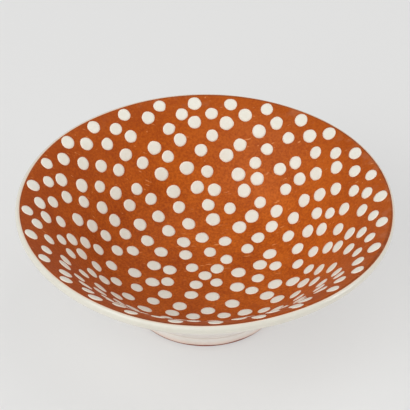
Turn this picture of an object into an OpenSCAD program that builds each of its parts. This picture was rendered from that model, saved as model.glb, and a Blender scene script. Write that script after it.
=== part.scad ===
// Footed dish with a dotted inside: a thrown clay bowl on a luted foot ring, coated inside and out.
// Millimetres. The foot stands on z = 0, and the dish is turned about the Z axis.

/* [Dish] */
// Outside diameter over the lip
rim_d = 280; // [262:1:310]
// Height from the table to the top of the lip
dish_h = 94.5; // [84:0.5:106]
// Height of the inside at the centre
floor_h = 21; // [18:0.5:26]

/* [Inside shape] */
// Radius of the gently dished floor
floor_r = 44; // [38:1:48]
// Slope of the floor where the turn into the wall starts, in degrees
floor_slope = 10; // [7:0.5:14]
// Width of the turn between floor and wall, seen from above
knee_w = 42; // [36:1:48]
// Width of the flare below the lip, seen from above
flare_w = 20; // [15:0.5:26]
// Slope of the flare where it meets the lip, in degrees
rim_slope = 28; // [20:0.5:34]
// Thickness of the wall at the lip, coats included
wall_t = 5.5; // [4.5:0.1:7]

/* [Foot] */
// Diameter of the foot where it stands on the table
foot_d = 112.6; // [104:0.2:120]
// Diameter of the foot where it meets the bowl
foot_top_d = 119.2; // [114:0.2:128]
// Height of the foot
foot_h = 11.5; // [9:0.25:13]
// Width of the ring that the dish stands on
foot_w = 7; // [5:0.25:10]
// Rounding of the foot's two lower edges
foot_round = 0.9; // [0.4:0.1:1.4]
// Height of the bare clay left below the glaze on the foot
bare_h = 1.7; // [1.5:0.1:3]

/* [Coats] */
// Thickness of the inside slip and of the glaze
coat_t = 0.6; // [0.3:0.05:1]

/* [Dots] */
// Diameter of a dot
dot_d = 10.4; // [7:0.1:11]
// Thickness of a dot
dot_t = 0.5; // [0.3:0.05:0.8]
// Rings of dots, with the one at the centre
dot_rows = 13; // [11:1:13]
// Dots in each of the outer rings
rim_dots = 28; // [24:1:28]
// Distance from dot to dot along the inner rings
dot_pitch = 19; // [17:0.5:24]
// Distance from the top of the lip to the middle of the outermost dots, along the wall
dot_margin = 7.5; // [6.5:0.1:9]
// How much the rings close up towards the lip
dot_crowding = 0.41; // [0.3:0.01:0.45]
// Turn of the whole pattern, in degrees
dot_turn = 3.5; // [0:0.5:12]
// How far a dot may wander from its place on the ring
dot_wander = 3.6; // [0:0.1:5]
// How much larger or smaller than the rest a dot may be, in percent
dot_uneven = 8; // [0:1:15]
// Least clear gap between two dots
dot_gap = 1.6; // [1:0.1:2.5]
// Number that picks another hand for the wander
dot_hand = 7; // [1:1:99]

/* [Hidden] */
$fn = 180;
// Arcs that run into each other cross by this much where they meet, so that no step is left between them
seam = 0.002;
// The dots lie this far clear of the slip, so that none cuts into it
dot_clear = 0.12;

// The lip is a round end on the wall, and the flare runs into it along its slope.
lip_r = wall_t / 2;
lip = [rim_d / 2 - lip_r, dish_h - lip_r];
edge = lip + lip_r * [-sin(rim_slope), cos(rim_slope)];

// The inside is a dished floor, a turn, a straight wall and a flare, each tangent to the next.
// The straight wall leans so that the four of them climb from the floor to the lip, found by halving.
steepest = 80;
halvings = 40;
knee_r = floor_r + knee_w;
flare_r = edge.x - flare_w;
function climb(w) =
    floor_r * tan(floor_slope / 2)
    + knee_w * tan((floor_slope + w) / 2)
    + (flare_r - knee_r) * tan(w)
    + flare_w * tan((w + rim_slope) / 2);
function lean(low, high, turns) =
    let (mid = (low + high) / 2)
    turns == 0 ? mid
    : climb(mid) < edge.y - floor_h ? lean(mid, high, turns - 1)
    : lean(low, mid, turns - 1);
wall_slope = lean(rim_slope, steepest, halvings);

// Radii of the three arcs, their centres and the points where they meet
floor_c = floor_r / sin(floor_slope);
knee_c = knee_w / (sin(wall_slope) - sin(floor_slope));
flare_c = flare_w / (sin(wall_slope) - sin(rim_slope));
function hollow(a) = [sin(a), -cos(a)];
floor_o = [0, floor_h + floor_c];
knee_o = floor_o + (floor_c - knee_c) * hollow(floor_slope);
knee_end = knee_o + knee_c * hollow(wall_slope);
flare_o = edge + flare_c * hollow(rim_slope);
flare_start = flare_o - flare_c * hollow(wall_slope);

// The foot leans out a little, and the underside runs straight from it to the flare.
foot_r = foot_d / 2;
foot_top_r = foot_top_d / 2;
foot_in_r = foot_r - foot_w;
foot_lean = atan2(foot_h, foot_top_r - foot_r);
joint = [foot_top_r + coat_t / sin(foot_lean), foot_h];
under_c = flare_c - wall_t;
reach = flare_o - joint;
under_slope = atan2(reach.y, reach.x) + asin(under_c / norm(reach));

// Distances along the inside from the centre to the end of the floor, turn, wall, flare and lip
function arc(r, a) = r * a * PI / 180;
floor_s = arc(floor_c, floor_slope);
knee_s = floor_s + arc(knee_c, wall_slope - floor_slope);
wall_s = knee_s + norm(flare_start - knee_end);
flare_s = wall_s + arc(flare_c, wall_slope - rim_slope);
lip_s = flare_s + arc(lip_r, rim_slope);

// Slope of the inside, and the point on it, at a distance along it from the centre
function slope_at(s) =
    s < floor_s ? s / arc(floor_c, 1)
    : s < knee_s ? floor_slope + (s - floor_s) / arc(knee_c, 1)
    : s < wall_s ? wall_slope
    : s < flare_s ? wall_slope - (s - wall_s) / arc(flare_c, 1)
    : rim_slope - (s - flare_s) / arc(lip_r, 1);
function point_at(s) =
    let (a = slope_at(s))
    s < floor_s ? floor_o + floor_c * hollow(a)
    : s < knee_s ? knee_o + knee_c * hollow(a)
    : s < wall_s ? knee_end + (s - knee_s) * [cos(a), sin(a)]
    : s < flare_s ? flare_o - flare_c * hollow(a)
    : lip - lip_r * hollow(a);

// How far the hollow rises above its tangent plane at a distance r, up, down or around the wall
function rise_at(s, r) =
    let (a = slope_at(s), p = point_at(s), n = [-sin(a), cos(a)], down = point_at(abs(s - r)))
    max(
        (point_at(s + r) - p) * n,
        ([s < r ? -down.x : down.x, down.y] - p) * n,
        s < r ? 0 : r * r * sin(a) / (2 * p.x)
    );

// Rings of dots: where each lies along the inside, how wide it is and how many dots it holds
last_row = dot_rows - 1;
function row_s(i) =
    let (u = i / last_row)
    (lip_s - dot_margin) * (u + dot_crowding * u * u * (1 - u));
function row_step(i) = row_s(min(i + 1, last_row)) - row_s(min(i, last_row - 1));
function row_dots(i) = i == 0 ? 1 : min(rim_dots, round(2 * PI * point_at(row_s(i)).x / dot_pitch));

// A dot is [ring, distance along the inside, turn about the axis, size].
function dot_place(d) =
    let (p = point_at(d[1]))
    [p.x * cos(d[2]), p.x * sin(d[2]), p.y];
function laid(i, j, along, around, size) =
    let (s = row_s(i), r = max(point_at(s).x, dot_d))
    [i, max(0, s + along), dot_turn + (j + (i % 2) / 2) * 360 / row_dots(i) + around / r * 180 / PI, size];

// Each dot has a place on its ring, and the hand that laid it wandered from there. Where rings lie closer
// than tight_step dots, none wanders off its ring, and the first and last rings wander less.
tight_step = 0.6;
loose_step = 1.2;
end_along = 0.3;
end_around = 0.4;
even_dots = [for (i = [0:last_row]) for (j = [0:row_dots(i) - 1]) laid(i, j, 0, 0, dot_d)];
dots_n = len(even_dots);
wander_s = rands(-dot_wander, dot_wander, dots_n, dot_hand);
wander_a = rands(-dot_wander, dot_wander, dots_n, dot_hand + 1);
sizes = rands(-dot_uneven, dot_uneven, dots_n, dot_hand + 2);
row_first = [for (i = 0, n = 0; i <= last_row; n = n + row_dots(i), i = i + 1) n];
loose_dots = [
    for (k = [0:dots_n - 1])
        let (
            i = even_dots[k][0],
            room = min(1, max(0, row_step(i) / dot_d - tight_step) / (loose_step - tight_step)),
            size = dot_d * (1 + sizes[k] / 100)
        )
        i == 0 || i == last_row
        ? laid(i, k - row_first[i], min(0, wander_s[k] * end_along), wander_a[k] * end_around, size)
        : laid(i, k - row_first[i], wander_s[k] * room, wander_a[k], size)
];

// A dot that would come too near another goes back to its place on the ring.
passes = 4;
function crowded(k, dots, places) =
    let (
        i = dots[k][0],
        near = [
            for (m = [row_first[max(0, i - 2)]:dots_n - 1])
                if (m != k && dots[m][0] <= i + 2
                    && norm(places[m] - places[k]) < (dots[m][3] + dots[k][3]) / 2 + dot_gap) m
        ]
    )
    len(near) > 0;
function settled(dots, turns) =
    turns == 0 ? dots
    : let (places = [for (d = dots) dot_place(d)])
      settled(
        [for (k = [0:dots_n - 1])
            crowded(k, dots, places)
            ? [even_dots[k][0], even_dots[k][1], even_dots[k][2], min(dots[k][3], dot_d)]
            : dots[k]],
        turns - 1
      );
dots = settled(loose_dots, passes);

// The air in the hollow of the dish, to a depth d below its finished surface
module air(d) {
    side = [-sin(wall_slope), cos(wall_slope)];
    out = [-sin(rim_slope), cos(rim_slope)];
    high = 2 * dish_h;
    wall_foot = knee_end - (d - seam) * side;
    intersection() {
        translate(floor_o) circle(floor_c + d - seam);
        translate([0, -high]) square([rim_d, 2 * high]);
        union() {
            translate(knee_o) circle(knee_c + d);
            translate([0, -high]) square([floor_r, 2 * high]);
        }
    }
    difference() {
        polygon([
            wall_foot,
            flare_start - (d - seam) * side,
            flare_o + (flare_c - d) * out,
            [edge.x, high],
            [0, high],
            [0, knee_o.y],
            [wall_foot.x, knee_o.y]
        ]);
        translate(flare_o) circle(flare_c - d + seam);
    }
}

// The bowl and its lip to a depth d below the finished surface, so without its coats where d is coat_t
module bowl_section(d) {
    out = [-sin(rim_slope), cos(rim_slope)];
    under = [-sin(under_slope), cos(under_slope)];
    difference() {
        polygon([
            [0, foot_h],
            [joint.x - d / sin(under_slope), foot_h],
            flare_o + (under_c + d) * under,
            flare_o + (under_c + d) * out,
            flare_o + (flare_c + lip_r) * out,
            [0, dish_h]
        ]);
        translate(flare_o) circle(under_c + d + seam);
        air(d);
    }
    translate(lip) circle(lip_r - d + 2 * seam);
}

// The side of the section that faces the hollow: half the wall, parted from the outside on top of the lip
module hollow_side() {
    high = 2 * dish_h;
    air(lip_r);
    polygon([lip, [lip.x, high], [0, high], [0, dish_h]]);
}

module foot_section() {
    round_out = [foot_r + foot_round / tan(foot_lean) - foot_round / sin(foot_lean), foot_round];
    round_in = [foot_in_r + foot_round, foot_round];
    round_steps = 6;
    function rounding(o, from, sweep) = [
        for (i = [0:round_steps])
            let (a = from + sweep * i / round_steps)
            o + foot_round * [cos(a), sin(a)]
    ];
    polygon(concat(
        rounding(round_in, 180, 90),
        rounding(round_out, -90, foot_lean),
        [[foot_top_r, foot_h], [foot_in_r, foot_h]]
    ));
}

module clay_bowl() {
    color([0.60, 0.31, 0.20]) rotate_extrude() bowl_section(coat_t);
}

module foot_ring() {
    color([0.60, 0.31, 0.20]) rotate_extrude() foot_section();
}

module inside_slip() {
    color([0.69, 0.36, 0.16]) rotate_extrude() intersection() {
        difference() {
            bowl_section(0);
            bowl_section(coat_t);
        }
        hollow_side();
    }
}

module outside_glaze() {
    bare_r = foot_r + bare_h / tan(foot_lean);
    color([0.91, 0.89, 0.83]) rotate_extrude() difference() {
        union() {
            bowl_section(0);
            // down the side of the foot
            polygon([
                [foot_in_r, bare_h],
                [bare_r + coat_t / sin(foot_lean), bare_h],
                joint,
                [joint.x, foot_h + coat_t],
                [foot_in_r, foot_h + coat_t]
            ]);
        }
        bowl_section(coat_t);
        foot_section();
        hollow_side();
    }
}

module base_glaze() {
    color([0.91, 0.89, 0.83]) rotate_extrude() polygon([
        [0, foot_h - coat_t],
        [foot_in_r - coat_t, foot_h - coat_t],
        [foot_in_r - coat_t, bare_h],
        [foot_in_r, bare_h],
        [foot_in_r, foot_h],
        [0, foot_h]
    ]);
}

// A round dab with a soft shoulder
module dab(d) {
    side = dot_t * 0.4;
    shoulder = dot_t * 0.6;
    flat_r = d / 4;
    rotate_extrude($fn = 72) polygon([
        [0, 0],
        [d / 2, 0],
        [d / 2, side],
        [d / 2 - shoulder, side + shoulder * 0.75],
        [flat_r, dot_t],
        [0, dot_t]
    ]);
}

// One ring of dots, each square to the hollow of the dish and resting on it at its edge
module dots_row(i) {
    color([0.92, 0.89, 0.81])
        for (d = dots)
            if (d[0] == i - 1) {
                p = point_at(d[1]);
                rotate([0, 0, d[2]]) translate([p.x, 0, p.y]) rotate([0, -slope_at(d[1]), 0])
                    translate([0, 0, rise_at(d[1], d[3] / 2) + dot_clear]) dab(d[3]);
            }
}

clay_bowl();
foot_ring();
inside_slip();
outside_glaze();
base_glaze();
for (i = [1:dot_rows])
    dots_row(i);
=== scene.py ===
import math
import random

import bpy
import numpy as np
from mathutils import Matrix, Vector, noise
from mathutils.bvhtree import BVHTree


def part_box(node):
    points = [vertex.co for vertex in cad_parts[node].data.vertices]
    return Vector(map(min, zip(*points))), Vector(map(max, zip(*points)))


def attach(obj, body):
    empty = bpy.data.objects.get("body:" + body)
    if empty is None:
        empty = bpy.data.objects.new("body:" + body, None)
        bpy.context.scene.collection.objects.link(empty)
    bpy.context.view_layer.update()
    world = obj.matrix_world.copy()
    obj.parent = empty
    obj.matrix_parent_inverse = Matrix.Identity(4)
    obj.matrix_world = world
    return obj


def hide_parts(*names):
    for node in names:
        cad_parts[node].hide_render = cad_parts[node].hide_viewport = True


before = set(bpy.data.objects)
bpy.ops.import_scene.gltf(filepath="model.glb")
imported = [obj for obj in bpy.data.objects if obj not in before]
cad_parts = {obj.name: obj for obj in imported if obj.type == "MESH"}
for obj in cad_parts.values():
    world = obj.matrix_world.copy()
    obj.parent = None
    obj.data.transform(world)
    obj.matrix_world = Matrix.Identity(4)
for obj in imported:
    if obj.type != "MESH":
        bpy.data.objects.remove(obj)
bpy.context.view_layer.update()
print("frame loaded:", len(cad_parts), "nodes")

mm = 0.001

# camera, where the photograph was taken from
shot = {
    "place": (0.0, -971.8 * mm, 851.4 * mm),
    "target": (0.0, 0.0, 88.95 * mm),
    "focalPixels": 1675.2,
    "imagePixels": 410,
    "sensor": 36.0,
    "roll": 0.22,  # degrees, right side up
    "right": 0.42,  # pixels that the target lies right of the picture's middle
    "below": 0.6,  # and below it
}

bpy.ops.object.select_all(action="DESELECT")
bpy.ops.object.camera_add(location=shot["place"])
camera = bpy.context.object
camera.name = "camera"
sight = Vector(shot["target"]) - camera.location
aim = sight.to_track_quat("-Z", "Y").to_matrix()
camera.rotation_euler = (aim @ Matrix.Rotation(math.radians(shot["roll"]), 3, "Z")).to_euler()
camera.data.sensor_width = shot["sensor"]
camera.data.lens = shot["focalPixels"] / shot["imagePixels"] * shot["sensor"]
camera.data.shift_x = -shot["right"] / shot["imagePixels"]
camera.data.shift_y = shot["below"] / shot["imagePixels"]
bpy.context.scene.camera = camera
print("camera placed, lens", round(camera.data.lens, 1), "mm")

# the dish's section, as it is turned
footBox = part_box("foot_ring")
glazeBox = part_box("outside_glaze")
dish = {
    "rimRadius": min(glazeBox[1].x, glazeBox[1].y) - 0.02 * mm,  # just inside the solids
    "height": glazeBox[1].z - 0.01 * mm,
    "floorHeight": 21 * mm,
    "floorRadius": 44 * mm,
    "floorSlope": math.radians(10),
    "turnWidth": 42 * mm,
    "flareWidth": 20 * mm,
    "rimSlope": math.radians(28),
    "steepest": math.radians(80),  # the most that the wall could lean
    "halvings": 40,  # steps in which its lean is found
    "wall": 5.5 * mm,
    "coat": 0.6 * mm,
    "footRadius": 56.3 * mm,
    "footTopRadius": footBox[1].x,
    "footHeight": footBox[1].z,
    "footWidth": 7 * mm,
    "footRound": 0.9 * mm,
    "bare": glazeBox[0].z,  # height of the bare line at the foot
}
wheel = {
    "steps": 240,  # round the axis
    "row": 1.4 * mm,  # height of a row of faces
    "samePoint": 0.004 * mm,  # points of a section that are nearer than this are one
    "weld": 0.003 * mm,
    "smooth": math.radians(40),
}


def hollow(slope):
    return Vector((math.sin(slope), -math.cos(slope)))


def solveSection(d):
    # the straight wall leans so that floor, turn, wall and flare climb to the lip
    lipRadius = d["wall"] / 2
    lip = Vector((d["rimRadius"] - lipRadius, d["height"] - lipRadius))
    edge = lip - lipRadius * hollow(d["rimSlope"])
    turnRadius = d["floorRadius"] + d["turnWidth"]
    flareRadius = edge.x - d["flareWidth"]
    low = d["rimSlope"]
    high = d["steepest"]
    for halving in range(d["halvings"]):
        slope = (low + high) / 2
        climb = d["floorRadius"] * math.tan(d["floorSlope"] / 2)
        climb += d["turnWidth"] * math.tan((d["floorSlope"] + slope) / 2)
        climb += (flareRadius - turnRadius) * math.tan(slope)
        climb += d["flareWidth"] * math.tan((slope + d["rimSlope"]) / 2)
        if climb < edge.y - d["floorHeight"]:
            low = slope
        else:
            high = slope
    s = {"lip": lip, "lipRadius": lipRadius, "edge": edge, "wallSlope": slope}
    s["floorArc"] = d["floorRadius"] / math.sin(d["floorSlope"])
    s["turnArc"] = d["turnWidth"] / (math.sin(slope) - math.sin(d["floorSlope"]))
    s["flareArc"] = d["flareWidth"] / (math.sin(slope) - math.sin(d["rimSlope"]))
    s["floorMid"] = Vector((0, d["floorHeight"] + s["floorArc"]))
    s["turnMid"] = s["floorMid"] + (s["floorArc"] - s["turnArc"]) * hollow(d["floorSlope"])
    s["flareMid"] = edge + s["flareArc"] * hollow(d["rimSlope"])
    # the underside runs straight from the foot to the flare
    s["footLean"] = math.atan2(d["footHeight"], d["footTopRadius"] - d["footRadius"])
    jointRadius = d["footTopRadius"] + d["coat"] / math.sin(s["footLean"])
    s["joint"] = Vector((jointRadius, d["footHeight"]))
    s["underArc"] = s["flareArc"] - d["wall"]
    reach = s["flareMid"] - s["joint"]
    s["underSlope"] = math.atan2(reach.y, reach.x) + math.asin(s["underArc"] / reach.length)
    return s


section = solveSection(dish)
lip = section["lip"]
print("section solved, wall slope", round(math.degrees(section["wallSlope"]), 2))


def shares(rows):
    # from 0 to 1 in even steps
    return [i / rows for i in range(rows + 1)]


def arcPoints(mid, radius, fromSlope, toSlope, rows=None):
    # an arc below its middle where radius is positive, above it where negative
    if rows is None:
        rows = max(2, round(abs(radius * (toSlope - fromSlope)) / wheel["row"]))
    return [mid + radius * hollow(fromSlope + (toSlope - fromSlope) * u) for u in shares(rows)]


def linePoints(start, end):
    rows = max(1, round((end - start).length / wheel["row"]))
    return [start.lerp(end, u) for u in shares(rows)]


def joinPoints(*stretches):
    # stretches of a section end to end, without the points that they share
    points = []
    for stretch in stretches:
        for point in stretch:
            if not points or (point - points[-1]).length > wheel["samePoint"]:
                points.append(point)
    return points


def insidePoints(depth):
    # from the middle of the floor to the edge of the lip, at a depth below the finished surface
    s = section
    floor = arcPoints(s["floorMid"], s["floorArc"] + depth, 0, dish["floorSlope"])
    turn = arcPoints(s["turnMid"], s["turnArc"] + depth, dish["floorSlope"], s["wallSlope"])
    flare = arcPoints(s["flareMid"], depth - s["flareArc"], s["wallSlope"], dish["rimSlope"])
    return joinPoints(floor, turn, linePoints(turn[-1], flare[0]), flare)


def lipPoint(slope, depth):
    # a slope above 0 is on the inside of the lip, 0 is its top and below 0 its outside
    return lip + (depth - section["lipRadius"]) * hollow(slope)


def lipPoints(fromSlope, toSlope, fromDepth, toDepth, rows):
    return [lipPoint(fromSlope + (toSlope - fromSlope) * u, fromDepth + (toDepth - fromDepth) * u)
            for u in shares(rows)]


def outsidePoints(depth):
    # from the lip under the flare and straight down to the foot
    s = section
    flare = arcPoints(s["flareMid"], -(s["underArc"] + depth), dish["rimSlope"], s["underSlope"])
    foot = Vector((s["joint"].x - depth / math.sin(s["underSlope"]), s["joint"].y))
    return joinPoints(flare, linePoints(flare[-1], foot))


def turnOnWheel(name, points):
    # the section is drawn point by point in edit mode and spun about the axis
    bpy.ops.object.select_all(action="DESELECT")
    bpy.ops.mesh.primitive_circle_add(vertices=3, radius=mm)
    ob = bpy.context.object
    ob.name = name
    ob.data.name = name
    bpy.ops.object.mode_set(mode="EDIT")
    bpy.ops.mesh.select_all(action="SELECT")
    bpy.ops.mesh.merge(type="CENTER")
    bpy.ops.transform.translate(value=(points[0].x, 0, points[0].y))
    for here, there in zip(points, points[1:]):
        step = there - here
        bpy.ops.mesh.extrude_vertices_move(TRANSFORM_OT_translate={"value": (step.x, 0, step.y)})
    bpy.ops.mesh.select_all(action="SELECT")
    bpy.ops.mesh.spin(steps=wheel["steps"], angle=2 * math.pi, center=(0, 0, 0), axis=(0, 0, 1))
    bpy.ops.mesh.select_all(action="SELECT")
    bpy.ops.mesh.remove_doubles(threshold=wheel["weld"])
    bpy.ops.mesh.normals_make_consistent(inside=False)
    bpy.ops.object.mode_set(mode="OBJECT")
    bpy.ops.object.shade_smooth_by_angle(angle=wheel["smooth"])
    return ob


def wander(turn, drift):
    # a slow drift round the dish, from -1 to 1 or so, with no step where it comes round
    across = math.cos(turn) * drift["size"]
    along = math.sin(turn) * drift["size"]
    return 2 * noise.noise(Vector((across, along, drift["seed"])))


# the rim as the hand left it, not quite round and not quite level
rim = {
    "from": 50 * mm,  # height at which it starts
    "waves": [  # three together leave corners of different sizes
        {"corners": 4, "turned": math.radians(-12), "height": 0.41 * mm},
        {"corners": 5, "turned": math.radians(-30), "height": 0.34 * mm},
        {"corners": 6, "turned": math.radians(27), "height": 0.27 * mm},
    ],
    "pull": 0.72 * mm,  # inwards all round, so that no corner stands out
    "dip": {"reach": 0.25 * mm, "seed": 5.7, "size": 1.2},  # size is how fast it changes
}


def warpRim(ob):
    for v in ob.data.vertices:
        rise = max(0, (v.co.z - rim["from"]) / (dish["height"] - rim["from"])) ** 2
        if rise > 0:
            turn = math.atan2(v.co.y, v.co.x)
            out = -rim["pull"]
            for wave in rim["waves"]:
                out += wave["height"] * math.cos(wave["corners"] * (turn - wave["turned"]))
            v.co.xy *= 1 + rise * out / v.co.xy.length
            v.co.z -= rise * rim["dip"]["reach"] * max(0, (1 + wander(turn, rim["dip"])) / 2)


def finishPiece(ob, node, material):
    ob.data.materials.clear()
    ob.data.materials.append(material)
    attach(ob, "root")
    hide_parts(node)
    print(ob.name, len(ob.data.polygons), "faces")


# materials: a source is a (node, output) pair

def paint(red, green, blue):
    # a colour as a paint program gives it, from 0 to 255, as the shader wants it
    def channel(c):
        c = c / 255
        return c / 12.92 if c <= 0.04045 else ((c + 0.055) / 1.055) ** 2.4
    return (channel(red), channel(green), channel(blue), 1.0)


def put(tree, kind, **values):
    # a node with its settings, and with its unlinked inputs by name
    node = tree.nodes.new(kind)
    for key, value in values.items():
        if hasattr(node, key):
            setattr(node, key, value)
        else:
            node.inputs[key.replace("_", " ")].default_value = value
    return node


def wire(tree, source, node, socket):
    tree.links.new(source[0].outputs[source[1]], node.inputs[socket])


def mathNode(tree, operation, first, second=None):
    # first and second are numbers or sources
    node = put(tree, "ShaderNodeMath", operation=operation)
    for socket, value in enumerate((first, second)):
        if isinstance(value, tuple):
            wire(tree, value, node, socket)
        elif value is not None:
            node.inputs[socket].default_value = value
    return node, 0


def spread(tree, source, start, end, low=0.0, high=1.0):
    # low where the source is at start, high where it is at end
    node = put(tree, "ShaderNodeMapRange", From_Min=start, From_Max=end, To_Min=low, To_Max=high)
    wire(tree, source, node, "Value")
    return node, 0


def ramp(tree, source, stops):
    # stops are (place, colour) from left to right
    node = put(tree, "ShaderNodeValToRGB")
    elements = node.color_ramp.elements
    while len(elements) < len(stops):
        elements.new(0.5)
    for element, (place, colour) in zip(elements, stops):
        element.position = place
        element.color = colour
    wire(tree, source, node, "Fac")
    return node, "Color"


def tint(tree, share, base, colour):
    # base goes over to a plain colour by a share from 0 to 1
    node = put(tree, "ShaderNodeMix", data_type="RGBA")
    wire(tree, share, node, 0)
    wire(tree, base, node, 6)  # its colours A and B are inputs 6 and 7
    node.inputs[7].default_value = colour
    return node, 2


def noiseAt(tree, place, scale, detail):
    node = put(tree, "ShaderNodeTexNoise", Scale=scale, Detail=detail)
    wire(tree, place, node, "Vector")
    return node, "Fac"


def split(tree, source):
    node = put(tree, "ShaderNodeSeparateXYZ")
    wire(tree, source, node, "Vector")
    return node


def axisRadius(tree, axes):
    # distance from the turning axis
    xx = mathNode(tree, "MULTIPLY", (axes, "X"), (axes, "X"))
    yy = mathNode(tree, "MULTIPLY", (axes, "Y"), (axes, "Y"))
    return mathNode(tree, "SQRT", mathNode(tree, "ADD", xx, yy))


def grainGroup():
    # blotches and grain of fired clay and glaze: Tone for colour and gloss, Height for relief
    tree = bpy.data.node_groups.new("firedGrain", "ShaderNodeTree")
    tree.interface.new_socket("Vector", in_out="INPUT", socket_type="NodeSocketVector")
    for name, value in (("Blotches", 30.0), ("Grain", 600.0), ("Grain share", 0.4)):
        socket = tree.interface.new_socket(name, in_out="INPUT", socket_type="NodeSocketFloat")
        socket.default_value = value
    for name in ("Tone", "Height"):
        tree.interface.new_socket(name, in_out="OUTPUT", socket_type="NodeSocketFloat")
    inside = put(tree, "NodeGroupInput")
    outside = put(tree, "NodeGroupOutput")
    blotches = put(tree, "ShaderNodeTexNoise", Detail=4.0, Roughness=0.55)
    grain = put(tree, "ShaderNodeTexNoise", Detail=5.0, Roughness=0.6)
    for textureNode, scale in ((blotches, "Blotches"), (grain, "Grain")):
        wire(tree, (inside, "Vector"), textureNode, "Vector")
        wire(tree, (inside, scale), textureNode, "Scale")
    mixed = put(tree, "ShaderNodeMix", data_type="FLOAT")
    wire(tree, (inside, "Grain share"), mixed, 0)
    wire(tree, (blotches, "Fac"), mixed, 2)  # its numbers A and B are inputs 2 and 3
    wire(tree, (grain, "Fac"), mixed, 3)
    wire(tree, (mixed, 0), outside, "Tone")
    wire(tree, (grain, "Fac"), outside, "Height")
    return tree


firedGrain = grainGroup()
glossTones = (0.3, 0.7)  # tones from which and up to which the roughness changes


def newMaterial(name, look):
    # a Principled material with the grain on Object coordinates
    material = bpy.data.materials.new(name)
    material.use_nodes = True
    tree = material.node_tree
    tree.nodes["Principled BSDF"].inputs["Specular IOR Level"].default_value = look["specular"]
    put(tree, "ShaderNodeTexCoord", name="coords")
    grain = put(tree, "ShaderNodeGroup", node_tree=firedGrain)
    for socket, value in look["grain"].items():
        grain.inputs[socket].default_value = value
    wire(tree, (tree.nodes["coords"], "Object"), grain, "Vector")
    return material, tree, grain


def finishMaterial(tree, look, colour, grain):
    surface = tree.nodes["Principled BSDF"]
    wire(tree, colour, surface, "Base Color")
    gloss = spread(tree, (grain, "Tone"), *glossTones, *look["rough"])
    wire(tree, gloss, surface, "Roughness")
    output, distance, strength = look["relief"]
    relief = put(tree, "ShaderNodeBump", Distance=distance, Strength=strength)
    wire(tree, (grain, output), relief, "Height")
    wire(tree, (relief, "Normal"), surface, "Normal")


# in each look below, a mask is the numbers for spread: start, end, low and high,
# and relief is the output that makes it, its depth and its strength

def slipMaterial():
    dark = paint(153, 64, 9)
    look = {
        "specular": 0.13,
        "grain": {"Blotches": 38.0, "Grain": 560.0, "Grain share": 0.66},
        "rough": (0.56, 0.40),
        "relief": ("Height", 0.1 * mm, 0.4),
        "stops": [
            (0.37, dark),
            (0.51, paint(177, 82, 13)),
            (0.65, paint(199, 100, 22)),
        ],
        "lean": (0.54, 0.42, 0.0),  # painted light: lighter to the right and the back, darker to the left and the front
        "highShadeMask": (88 * mm, 130 * mm, 0.0, 0.5),  # painted shade: darker high on the wall
        "edge": paint(96, 44, 20),  # a thin dark line where it runs out at the lip
        "edgeMask": (135.3 * mm, 136.5 * mm, 0.0, 0.48),
        "scuff": paint(226, 146, 88),
        "scuffShare": 0.75,
        "speckScale": 90.0,
        "speckLeast": 0.6,  # cells above this have a speck
        "speckSize": 0.05,
        "strokes": [(24, 0.705), (-38, 0.715), (83, 0.72)],  # degrees, and the least noise for one
        "strokeScale": (90.0, 520.0, 200.0),
        "strokeSoft": 0.06,
        # a painted sheen in pale patches under the lip, on the right and the back
        "paintedSheen": paint(178, 116, 84),
        "paintedSheenScale": 120.0,
        "paintedSheenMask": (0.52, 0.68, 0.0, 0.3),
        "paintedSheenRadius": (124 * mm, 133 * mm),
        "paintedSheenSide": (-0.02, 0.03),
    }
    material, tree, grain = newMaterial("brownSlip", look)
    place = (tree.nodes["coords"], "Object")
    radius = axisRadius(tree, split(tree, place))
    # painted light: the tone goes up to the right and the back, and down to the left and the front
    paintedSideLightNode = put(tree, "ShaderNodeVectorMath", operation="DOT_PRODUCT")
    paintedSideLightNode.inputs[1].default_value = look["lean"]
    wire(tree, place, paintedSideLightNode, 0)
    lean = (paintedSideLightNode, "Value")
    colour = ramp(tree, mathNode(tree, "ADD", (grain, "Tone"), lean), look["stops"])
    # painted shade high on the wall
    colour = tint(tree, spread(tree, radius, *look["highShadeMask"]), colour, dark)
    colour = tint(tree, spread(tree, radius, *look["edgeMask"]), colour, look["edge"])
    # pale specks, one in a few cells
    cells = put(tree, "ShaderNodeTexVoronoi", Scale=look["speckScale"])
    wire(tree, place, cells, "Vector")
    cellDraw = (split(tree, (cells, "Color")), "X")
    chosen = mathNode(tree, "GREATER_THAN", cellDraw, look["speckLeast"])
    near = mathNode(tree, "LESS_THAN", (cells, "Distance"), look["speckSize"])
    marks = mathNode(tree, "MULTIPLY", chosen, near)
    # scuffs: thin strokes that run three ways
    for degrees, least in look["strokes"]:
        stretch = put(tree, "ShaderNodeMapping", Rotation=(0.0, 0.0, math.radians(degrees)),
                      Scale=look["strokeScale"])
        wire(tree, place, stretch, "Vector")
        strokes = noiseAt(tree, (stretch, "Vector"), scale=1.0, detail=2.0)
        stroke = spread(tree, strokes, least, least + look["strokeSoft"])
        marks = mathNode(tree, "MAXIMUM", marks, stroke)
    marks = mathNode(tree, "MULTIPLY", marks, look["scuffShare"])
    colour = tint(tree, marks, colour, look["scuff"])
    # painted sheen: pale patches just under the lip, on the right and the back only
    patches = noiseAt(tree, place, look["paintedSheenScale"], detail=3.0)
    sheenPatches = spread(tree, patches, *look["paintedSheenMask"])
    sheenPatches = mathNode(tree, "MULTIPLY", sheenPatches, spread(tree, radius, *look["paintedSheenRadius"]))
    sheenPatches = mathNode(tree, "MULTIPLY", sheenPatches, spread(tree, lean, *look["paintedSheenSide"]))
    colour = tint(tree, sheenPatches, colour, look["paintedSheen"])
    finishMaterial(tree, look, colour, grain)
    return material


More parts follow.
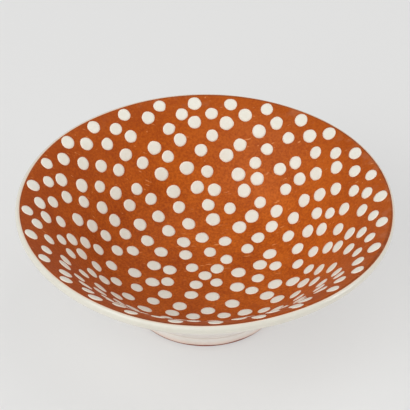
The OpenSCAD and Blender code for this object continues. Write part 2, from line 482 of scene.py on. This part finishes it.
def glazeMaterial():
    look = {
        "specular": 0.5,
        "grain": {"Blotches": 26.0, "Grain": 240.0, "Grain share": 0.3},
        "rough": (0.24, 0.14),
        "relief": ("Tone", 0.15 * mm, 0.35),
        "stops": [(0.25, paint(212, 206, 192)), (0.5, paint(219, 215, 203))],
        "low": paint(242, 234, 229),  # the clay shows pink through it on the wall and the foot; it is lighter there too, painted light from the floor below
        "pinkAndPaintedLightMask": (91 * mm, 77 * mm),
        "cloudMask": (0.38, 0.62, 0.62, 1.0),
        # painted shade in the crease over the foot
        "crease": paint(196, 178, 162),
        "creaseShadeMask": (1.4 * mm, 0.3 * mm, 0.0, 0.55),
        "warm": paint(232, 182, 150),  # where it thins out above the bare foot
        "warmMask": (7 * mm, 1.5 * mm, 0.0, 0.55),
        "through": paint(228, 178, 138),  # the slip shows through its thin edge on the lip
        "throughShare": 0.75,
    }
    material, tree, grain = newMaterial("creamGlaze", look)
    tone = (grain, "Tone")
    axes = split(tree, (tree.nodes["coords"], "Object"))
    up = (axes, "Z")
    colour = ramp(tree, tone, look["stops"])
    cloud = spread(tree, tone, *look["cloudMask"])
    # pink from the clay, and painted light from the floor, on the wall and the foot
    low = mathNode(tree, "MULTIPLY", spread(tree, up, *look["pinkAndPaintedLightMask"]), cloud)
    colour = tint(tree, low, colour, look["low"])
    # painted shade: darker in the crease over the foot, but not in the recess, which is as high
    away = mathNode(tree, "ABSOLUTE", mathNode(tree, "SUBTRACT", up, dish["footHeight"]))
    outside = mathNode(tree, "GREATER_THAN", axisRadius(tree, axes), dish["footRadius"])
    crease = mathNode(tree, "MULTIPLY", spread(tree, away, *look["creaseShadeMask"]), outside)
    colour = tint(tree, crease, colour, look["crease"])
    colour = tint(tree, spread(tree, up, *look["warmMask"]), colour, look["warm"])
    edge = put(tree, "ShaderNodeAttribute", attribute_name="thinEdge")
    through = mathNode(tree, "MULTIPLY", (edge, "Fac"), look["throughShare"])
    colour = tint(tree, through, colour, look["through"])
    finishMaterial(tree, look, colour, grain)
    return material


def dotMaterial():
    look = {
        "specular": 0.3,
        "grain": {"Blotches": 120.0, "Grain": 700.0, "Grain share": 0.4},
        "rough": (0.48, 0.34),
        "relief": ("Height", 0.06 * mm, 0.4),
        "stops": [(0.3, paint(228, 223, 209)), (0.6, paint(235, 233, 222))],
        "edge": paint(246, 232, 214),  # warmer where a dab dried at its edge
        "edgeMask": (0.7, 0.95, 0.0, 0.8),
    }
    material, tree, grain = newMaterial("creamDots", look)
    colour = ramp(tree, (grain, "Tone"), look["stops"])
    out = put(tree, "ShaderNodeAttribute", attribute_name="dabOut")
    colour = tint(tree, spread(tree, (out, "Fac"), *look["edgeMask"]), colour, look["edge"])
    finishMaterial(tree, look, colour, grain)
    return material


def clayMaterial():
    look = {
        "specular": 0.3,
        "grain": {"Blotches": 90.0, "Grain": 900.0, "Grain share": 0.6},
        "rough": (0.92, 0.78),
        "relief": ("Height", 0.2 * mm, 0.7),
        "stops": [
            (0.3, paint(112, 52, 36)),
            (0.5, paint(146, 76, 52)),
            (0.72, paint(176, 102, 72)),
        ],
    }
    material, tree, grain = newMaterial("redClay", look)
    finishMaterial(tree, look, ramp(tree, (grain, "Tone"), look["stops"]), grain)
    return material


brownSlip = slipMaterial()
creamGlaze = glazeMaterial()
creamDots = dotMaterial()
redClay = clayMaterial()
print("materials made")

# the thrown bowl, all under its coats
footTop = Vector((0, dish["footHeight"]))
lipUnder = dish["rimSlope"] - math.pi
clayBowl = turnOnWheel("clayBowl", joinPoints(
    insidePoints(dish["coat"]),
    lipPoints(dish["rimSlope"], lipUnder, dish["coat"], dish["coat"], rows=14),
    outsidePoints(dish["coat"]),
    [footTop]))
warpRim(clayBowl)
finishPiece(clayBowl, "clay_bowl", redClay)

# the slip inside, which thins out over the lip and runs under the edge of the glaze
slip = {
    "overLip": math.radians(-42),
    "sink": 0.25 * mm,  # below the finished lip where it ends
}
insideSlip = turnOnWheel("insideSlip", joinPoints(
    insidePoints(0),
    lipPoints(dish["rimSlope"], slip["overLip"], 0, slip["sink"], rows=12),
    lipPoints(slip["overLip"], dish["rimSlope"], dish["coat"], dish["coat"], rows=6),
    insidePoints(dish["coat"])[::-1]))
warpRim(insideSlip)
finishPiece(insideSlip, "inside_slip", brownSlip)

# the glaze outside, from the top of the lip down to the bare edge of the foot
glaze = {
    "lipEdge": math.radians(-4),
    "lipBead": math.radians(7),  # width of its rounded edge on the lip
    "beadSteps": (0, 0.15, 0.35, 0.6, 1),
    "lipThin": math.radians(26),  # width of its thin edge
    "lipShift": (0.8 * mm, -0.2 * mm),  # further out on the right and at the front, in on the left
    "lipWander": {"reach": 0.35 * mm, "seed": 3.1, "size": 2.2},
    "lipZone": 1.1,  # what is within this many of the lip's radii slides with that edge
    "lipFade": math.radians(80),  # the slide dies out over this much of the lip
    "rollHang": 2.3 * mm,  # the rolled outside of the lip hangs this much lower than a plain round
    "rollIn": 7.2 * mm,  # from the middle of the lip in to where the roll has run out
    "footWander": {"reach": 0.3 * mm, "seed": 8.4, "size": 3.0},
    "footFade": 5 * mm,
    "rings": {"height": 0.13 * mm, "spacing": 8.6 * mm, "fade": 7 * mm},  # left by the fingers
    "creaseDepth": 0.4 * mm,  # turned in over the foot
    "creaseWidth": 1.3 * mm,
}
uneven = {  # how the rings differ; a rate is a share of the rings' own
    "drift": 0.9,
    "driftRate": 0.37,
    "swell": 0.3,
    "swellRate": 0.23,
    "swellStart": 2,
    "second": 0.4,
    "secondRate": 1.63,
    "secondStart": 1,
}


def footSide(height, depth):
    # a point on the side of the foot, at a depth below the glazed surface
    lean = section["footLean"]
    out = height / math.tan(lean) + (dish["coat"] - depth) / math.sin(lean)
    return Vector((dish["footRadius"] + out, height))


def throwingRings(points, rings):
    # uneven rings across a stretch of a section, which die out at both its ends
    runs = [0]
    for here, there in zip(points, points[1:]):
        runs.append(runs[-1] + (there - here).length)
    ringed = []
    for i, point in enumerate(points):
        along = points[min(i + 1, len(points) - 1)] - points[max(i - 1, 0)]
        away = Vector((-along.y, along.x)).normalized()
        turns = 2 * math.pi * runs[i] / rings["spacing"]
        ring = math.sin(turns + uneven["drift"] * math.sin(uneven["driftRate"] * turns))
        ring *= 1 - uneven["swell"] * (1 - math.sin(uneven["swellRate"] * turns + uneven["swellStart"]))
        ring += uneven["second"] * math.sin(uneven["secondRate"] * turns + uneven["secondStart"])
        fade = min(1, runs[i] / rings["fade"], (runs[-1] - runs[i]) / rings["fade"])
        ringed.append(point + away * rings["height"] * ring * fade)
    return ringed


def rollPoints(under):
    # the outside of the lip, and a fillet back to the underside; what is left of that comes second
    low = section["lipRadius"] + glaze["rollHang"]
    angles = [math.pi / 2 * (1 + u) for u in shares(rows=14)]
    roll = [lip + Vector((section["lipRadius"] * math.sin(a), low * math.cos(a))) for a in angles]
    first = next(i for i, point in enumerate(under) if point.x < lip.x - glaze["rollIn"])
    start, end = roll[-1], under[first]
    along = end - under[first + 1]
    corner = end + along * (start.y - end.y) / along.y
    fillet = [start.lerp(corner, u).lerp(corner.lerp(end, u), u) for u in shares(rows=8)]
    return joinPoints(roll, fillet), under[first:]


def creasePoints():
    # a small groove where the wall meets the foot
    joint = section["joint"]
    wall = Vector((math.cos(section["underSlope"]), math.sin(section["underSlope"])))
    foot = Vector((math.cos(section["footLean"]), math.sin(section["footLean"])))
    return [joint + wall * glaze["creaseWidth"],
            joint + wall * glaze["creaseWidth"] / 3 - Vector((glaze["creaseDepth"], 0)),
            joint - foot * glaze["creaseWidth"] / 4 - Vector((glaze["creaseDepth"], 0)),
            joint - foot * glaze["creaseWidth"]]


roll, underside = rollPoints(outsidePoints(0))
crease = creasePoints()
beadPoints = [lipPoint(glaze["lipEdge"] - glaze["lipBead"] * u,
                       slip["sink"] * (1 - math.sin(u * math.pi / 2)))
              for u in glaze["beadSteps"]]
glazeTop = joinPoints(
    beadPoints,
    lipPoints(glaze["lipEdge"] - glaze["lipBead"], -math.pi / 2, 0, 0, rows=12),
    roll,
    throwingRings(underside[:-1], glaze["rings"]),
    crease,
    linePoints(crease[-1], footSide(dish["bare"] + dish["coat"], 0)),
    [footSide(dish["bare"] + dish["coat"] / 3, dish["coat"] / 6)],
    [footSide(dish["bare"], dish["coat"] / 2)])
glazeBack = joinPoints(
    [footSide(dish["bare"], dish["coat"])],
    linePoints(footSide(dish["bare"] + dish["coat"], dish["coat"]),
               footSide(dish["footHeight"], dish["coat"])),
    outsidePoints(dish["coat"])[::-1],
    lipPoints(lipUnder, glaze["lipEdge"], dish["coat"], dish["coat"], rows=16))
outsideGlaze = turnOnWheel("outsideGlaze", joinPoints(glazeTop, glazeBack, [glazeTop[0]]))
thinEdge = outsideGlaze.data.attributes.new("thinEdge", "FLOAT", "POINT")
for v in outsideGlaze.data.vertices:
    turn = math.atan2(v.co.y, v.co.x)
    over = Vector((math.hypot(v.co.x, v.co.y) - lip.x, v.co.z - lip.y))
    if over.length < section["lipRadius"] * glaze["lipZone"]:
        # slid round the lip
        angle = math.atan2(over.x, over.y)
        thin = 1 - (angle + glaze["lipEdge"]) / glaze["lipThin"]
        thinEdge.data[v.index].value = min(1, max(0, thin))
        share = max(0, 1 - max(0, angle) / glaze["lipFade"])
        shift = glaze["lipShift"][0] * math.cos(turn) + glaze["lipShift"][1] * math.sin(turn)
        shift += glaze["lipWander"]["reach"] * wander(turn, glaze["lipWander"])
        angle += share * shift / section["lipRadius"]
        out = lip.x + over.length * math.sin(angle)
        v.co = (out * math.cos(turn), out * math.sin(turn), lip.y + over.length * math.cos(angle))
    elif v.co.z < dish["bare"] + glaze["footFade"]:
        share = 1 - (v.co.z - dish["bare"]) / glaze["footFade"]
        v.co.z += share * glaze["footWander"]["reach"] * (1 + wander(turn, glaze["footWander"]))
warpRim(outsideGlaze)
finishPiece(outsideGlaze, "outside_glaze", creamGlaze)

# the foot, bare where it stands, with its two lower edges rounded
footIn = dish["footRadius"] - dish["footWidth"]
lean = section["footLean"]
roundIn = Vector((footIn + dish["footRound"], dish["footRound"]))
roundOutBack = dish["footRound"] * (1 / math.tan(lean) - 1 / math.sin(lean))
roundOut = Vector((dish["footRadius"] + roundOutBack, dish["footRound"]))
footTopIn = Vector((footIn, dish["footHeight"]))
footTopOut = Vector((dish["footTopRadius"], dish["footHeight"]))
roundInPoints = arcPoints(roundIn, dish["footRound"], -math.pi / 2, 0, rows=6)
roundOutPoints = arcPoints(roundOut, dish["footRound"], 0, lean, rows=6)
footRing = turnOnWheel("footRing", joinPoints(
    linePoints(footTopIn, roundInPoints[0]),
    roundInPoints,
    linePoints(roundInPoints[-1], roundOutPoints[0]),
    roundOutPoints,
    linePoints(roundOutPoints[-1], footTopOut),
    linePoints(footTopOut, footTopIn)))
finishPiece(footRing, "foot_ring", redClay)

# the glaze in the recess of the foot
base = {
    "fillet": 2.2 * mm,
    "rings": {"height": 0.08 * mm, "spacing": 6.4 * mm, "fade": 5 * mm},
}
baseTop = dish["footHeight"] - dish["coat"]
baseOut = footIn - dish["coat"]
filletMid = Vector((baseOut - base["fillet"], baseTop - base["fillet"]))
filletAngles = [math.pi / 2 * u for u in shares(rows=8)]
filletPoints = [filletMid + base["fillet"] * Vector((math.sin(a), math.cos(a))) for a in filletAngles]
baseGlaze = turnOnWheel("baseGlaze", joinPoints(
    throwingRings(linePoints(Vector((0, baseTop)), filletPoints[0]), base["rings"]),
    filletPoints,
    linePoints(filletPoints[-1], Vector((baseOut, dish["bare"] + dish["coat"]))),
    [Vector((baseOut + dish["coat"] / 3, dish["bare"])), Vector((footIn, dish["bare"]))],
    linePoints(Vector((footIn, dish["bare"])), footTopIn),
    linePoints(footTopIn, footTop)))
finishPiece(baseGlaze, "base_glaze", creamGlaze)

# the dots: one dab, copied to each place that the frame gives
dab = {
    "sides": 18,
    "thick": 0.26 * mm,
    "side": 0.5,  # share of its thickness at the edge
    "shoulder": 0.24,  # share of its radius
    "crown": 0.1,
    "smooth": math.radians(50),
    "sink": 0.08 * mm,
    "oval": 0.045,
    "lobes": 0.025,
    "waves": (2, 3, 5),  # round its edge: two make an oval, three and five the lobes
    "tail": 0.14,  # where the brush left a point
    "tailLeast": 0.6,  # share of that on the shortest
    "tailSharp": 8,
    "tailed": 0.1,  # share of the dots that have one
    "seed": 11,
    "weld": 0.001 * mm,  # for the solids that give the places
}


def modelDab():
    # a round of radius 1, with a straight side, a shoulder and a crown
    bpy.ops.object.select_all(action="DESELECT")
    bpy.ops.mesh.primitive_circle_add(vertices=dab["sides"], radius=1, fill_type="NGON")
    ob = bpy.context.object
    bpy.ops.object.mode_set(mode="EDIT")
    bpy.ops.mesh.select_all(action="SELECT")
    bpy.ops.mesh.extrude_region_move(TRANSFORM_OT_translate={"value": (0, 0, dab["side"])})
    bpy.ops.mesh.inset(thickness=dab["shoulder"], depth=1 - dab["side"])
    bpy.ops.mesh.poke(offset=dab["crown"])
    bpy.ops.mesh.select_all(action="SELECT")
    bpy.ops.mesh.normals_make_consistent(inside=False)
    bpy.ops.object.mode_set(mode="OBJECT")
    bpy.ops.object.shade_smooth_by_angle(angle=dab["smooth"])
    out = ob.data.attributes.new("dabOut", "FLOAT", "POINT")  # 0 at its middle, 1 at its edge
    for v in ob.data.vertices:
        out.data[v.index].value = v.co.xy.length
    return ob


def dotPlaces(node):
    # each loose shell of a CAD row is one dot: its middle, its facing and its radius
    bpy.ops.object.select_all(action="DESELECT")
    row = node.copy()
    row.data = node.data.copy()
    bpy.context.collection.objects.link(row)
    row.select_set(True)
    bpy.context.view_layer.objects.active = row
    bpy.ops.object.mode_set(mode="EDIT")
    bpy.ops.mesh.select_all(action="SELECT")
    bpy.ops.mesh.remove_doubles(threshold=dab["weld"])
    bpy.ops.mesh.separate(type="LOOSE")
    bpy.ops.object.mode_set(mode="OBJECT")
    places = []
    for shell in bpy.context.selected_objects:
        points = np.array([v.co for v in shell.data.vertices])
        middle = points.mean(0)
        facing = np.linalg.svd(points - middle)[2][2]  # the way in which it is thinnest
        facing = facing if facing[2] > 0 else -facing
        flat = points - middle - np.outer((points - middle) @ facing, facing)
        radius = float(np.linalg.norm(flat, axis=1).max())
        places.append((Vector(middle), Vector(facing), radius))
    bpy.ops.object.delete()
    return sorted(places, key=lambda place: math.atan2(place[0].y, place[0].x))


slipTree = BVHTree.FromObject(insideSlip, bpy.context.evaluated_depsgraph_get())


def layDab(model, place, dice):
    # a copy with an outline of its own, laid on the slip
    middle, facing, radius = place
    across = Vector((1, 0, 0))
    if middle.xy.length > mm:
        across = Vector((-middle.y, middle.x, 0)).normalized()
    up = facing.cross(across)
    turns = [dice.uniform(0, 2 * math.pi) for wave in dab["waves"]]
    sizes = [size * dice.uniform(-1, 1) for size in (dab["oval"], dab["lobes"], dab["lobes"])]
    tail = dab["tail"] * dice.uniform(dab["tailLeast"], 1) if dice.random() < dab["tailed"] else 0
    tailTurn = dice.randrange(dab["sides"]) * 2 * math.pi / dab["sides"]
    ob = model.copy()
    ob.data = model.data.copy()
    bpy.context.collection.objects.link(ob)
    for v in ob.data.vertices:
        angle = math.atan2(v.co.y, v.co.x)
        swell = 1 + tail * math.exp(dab["tailSharp"] * (math.cos(angle - tailTurn) - 1))
        for wave, size, turn in zip(dab["waves"], sizes, turns):
            swell += size * math.cos(wave * (angle - turn))
        flat = middle + radius * swell * (across * v.co.x + up * v.co.y)
        on, normal = slipTree.find_nearest(flat)[:2]
        height = v.co.z * dab["thick"] if v.co.z > 0 else -dab["sink"]
        v.co = on + normal * height
    return ob


def rowNumber(name):
    return int(name.split("_")[-1])


dabModel = modelDab()
dice = random.Random(dab["seed"])
rowNames = [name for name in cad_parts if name.startswith("dots_row_")]
for rowName in sorted(rowNames, key=rowNumber):
    places = dotPlaces(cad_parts[rowName])
    laid = [layDab(dabModel, place, dice) for place in places]
    bpy.ops.object.select_all(action="DESELECT")
    for ob in laid:
        ob.select_set(True)
    bpy.context.view_layer.objects.active = laid[0]
    if len(laid) > 1:
        bpy.ops.object.join()
    row = bpy.context.object
    row.name = "dotRow" + str(rowNumber(rowName))
    row.data.name = row.name
    finishPiece(row, rowName, creamDots)
bpy.data.objects.remove(dabModel)

# floor, light and background
studio = {
    "floorSize": 9.0,
    "floor": paint(244, 243, 241),
    "background": paint(218, 218, 218),
    "floorGlow": 0.62,  # share of the background's own brightness in what the camera sees of the floor
    "sky": (0.98, 0.99, 1.0, 1.0),
    "skyStrength": 0.49,
    "aim": (0.0, 0.0, 0.05),
}
lamps = {
    "key": {"place": (-2.3, -2.6, 2.9), "size": 4.8, "power": 97.0, "colour": (1.0, 1.0, 0.98)},
    "window": {"place": (-2.95, -1.9, 2.5), "size": 1.9, "power": 24.0, "colour": (0.92, 0.98, 1.0)},
    "top": {"place": (1.3, 0.9, 4.1), "size": 3.2, "power": 29.0, "colour": (1.0, 1.0, 1.0)},
    "right": {"place": (3.7, -1.0, 0.9), "size": 1.6, "power": 33.0, "colour": (1.0, 0.97, 0.94)},
}


def seenDirectly(tree):
    # 1 for the camera and in reflections, 0 for light that bounces
    rays = put(tree, "ShaderNodeLightPath")
    mirrored = mathNode(tree, "MAXIMUM", (rays, "Is Glossy Ray"), (rays, "Is Transmission Ray"))
    return mathNode(tree, "MAXIMUM", (rays, "Is Camera Ray"), mirrored)


def blendOut(tree, share, first, second, output):
    # first goes over to second by a share
    blend = put(tree, "ShaderNodeMixShader")
    wire(tree, share, blend, 0)
    wire(tree, (first, 0), blend, 1)
    wire(tree, (second, 0), blend, 2)
    wire(tree, (blend, 0), tree.nodes[output], "Surface")


bpy.ops.object.select_all(action="DESELECT")
bpy.ops.mesh.primitive_plane_add(size=studio["floorSize"], location=(0, 0, 0))
floor = bpy.context.object
floor.name = "floor"
floorMaterial = bpy.data.materials.new("paleFloor")
floorMaterial.use_nodes = True
floorTree = floorMaterial.node_tree
floorTree.nodes.remove(floorTree.nodes["Principled BSDF"])
matt = put(floorTree, "ShaderNodeBsdfDiffuse", Color=studio["floor"])
glow = put(floorTree, "ShaderNodeEmission", Color=studio["background"], Strength=1.0)
glowShare = mathNode(floorTree, "MULTIPLY", seenDirectly(floorTree), studio["floorGlow"])
blendOut(floorTree, glowShare, matt, glow, "Material Output")
floor.data.materials.append(floorMaterial)

world = bpy.data.worlds.new("studio")
bpy.context.scene.world = world
world.use_nodes = True
worldTree = world.node_tree
sky = worldTree.nodes["Background"]
sky.inputs["Color"].default_value = studio["sky"]
sky.inputs["Strength"].default_value = studio["skyStrength"]
plain = put(worldTree, "ShaderNodeBackground", Color=studio["background"], Strength=1.0)
blendOut(worldTree, seenDirectly(worldTree), sky, plain, "World Output")

for name, lamp in lamps.items():
    bpy.ops.object.light_add(type="AREA", location=lamp["place"])
    light = bpy.context.object
    light.name = name
    light.data.shape = "DISK"
    light.data.size = lamp["size"]
    light.data.energy = lamp["power"]
    light.data.color = lamp["colour"]
    light.rotation_euler = (Vector(studio["aim"]) - light.location).to_track_quat("-Z", "Y").to_euler()

bpy.context.scene.view_settings.view_transform = "Standard"
print("studio set")
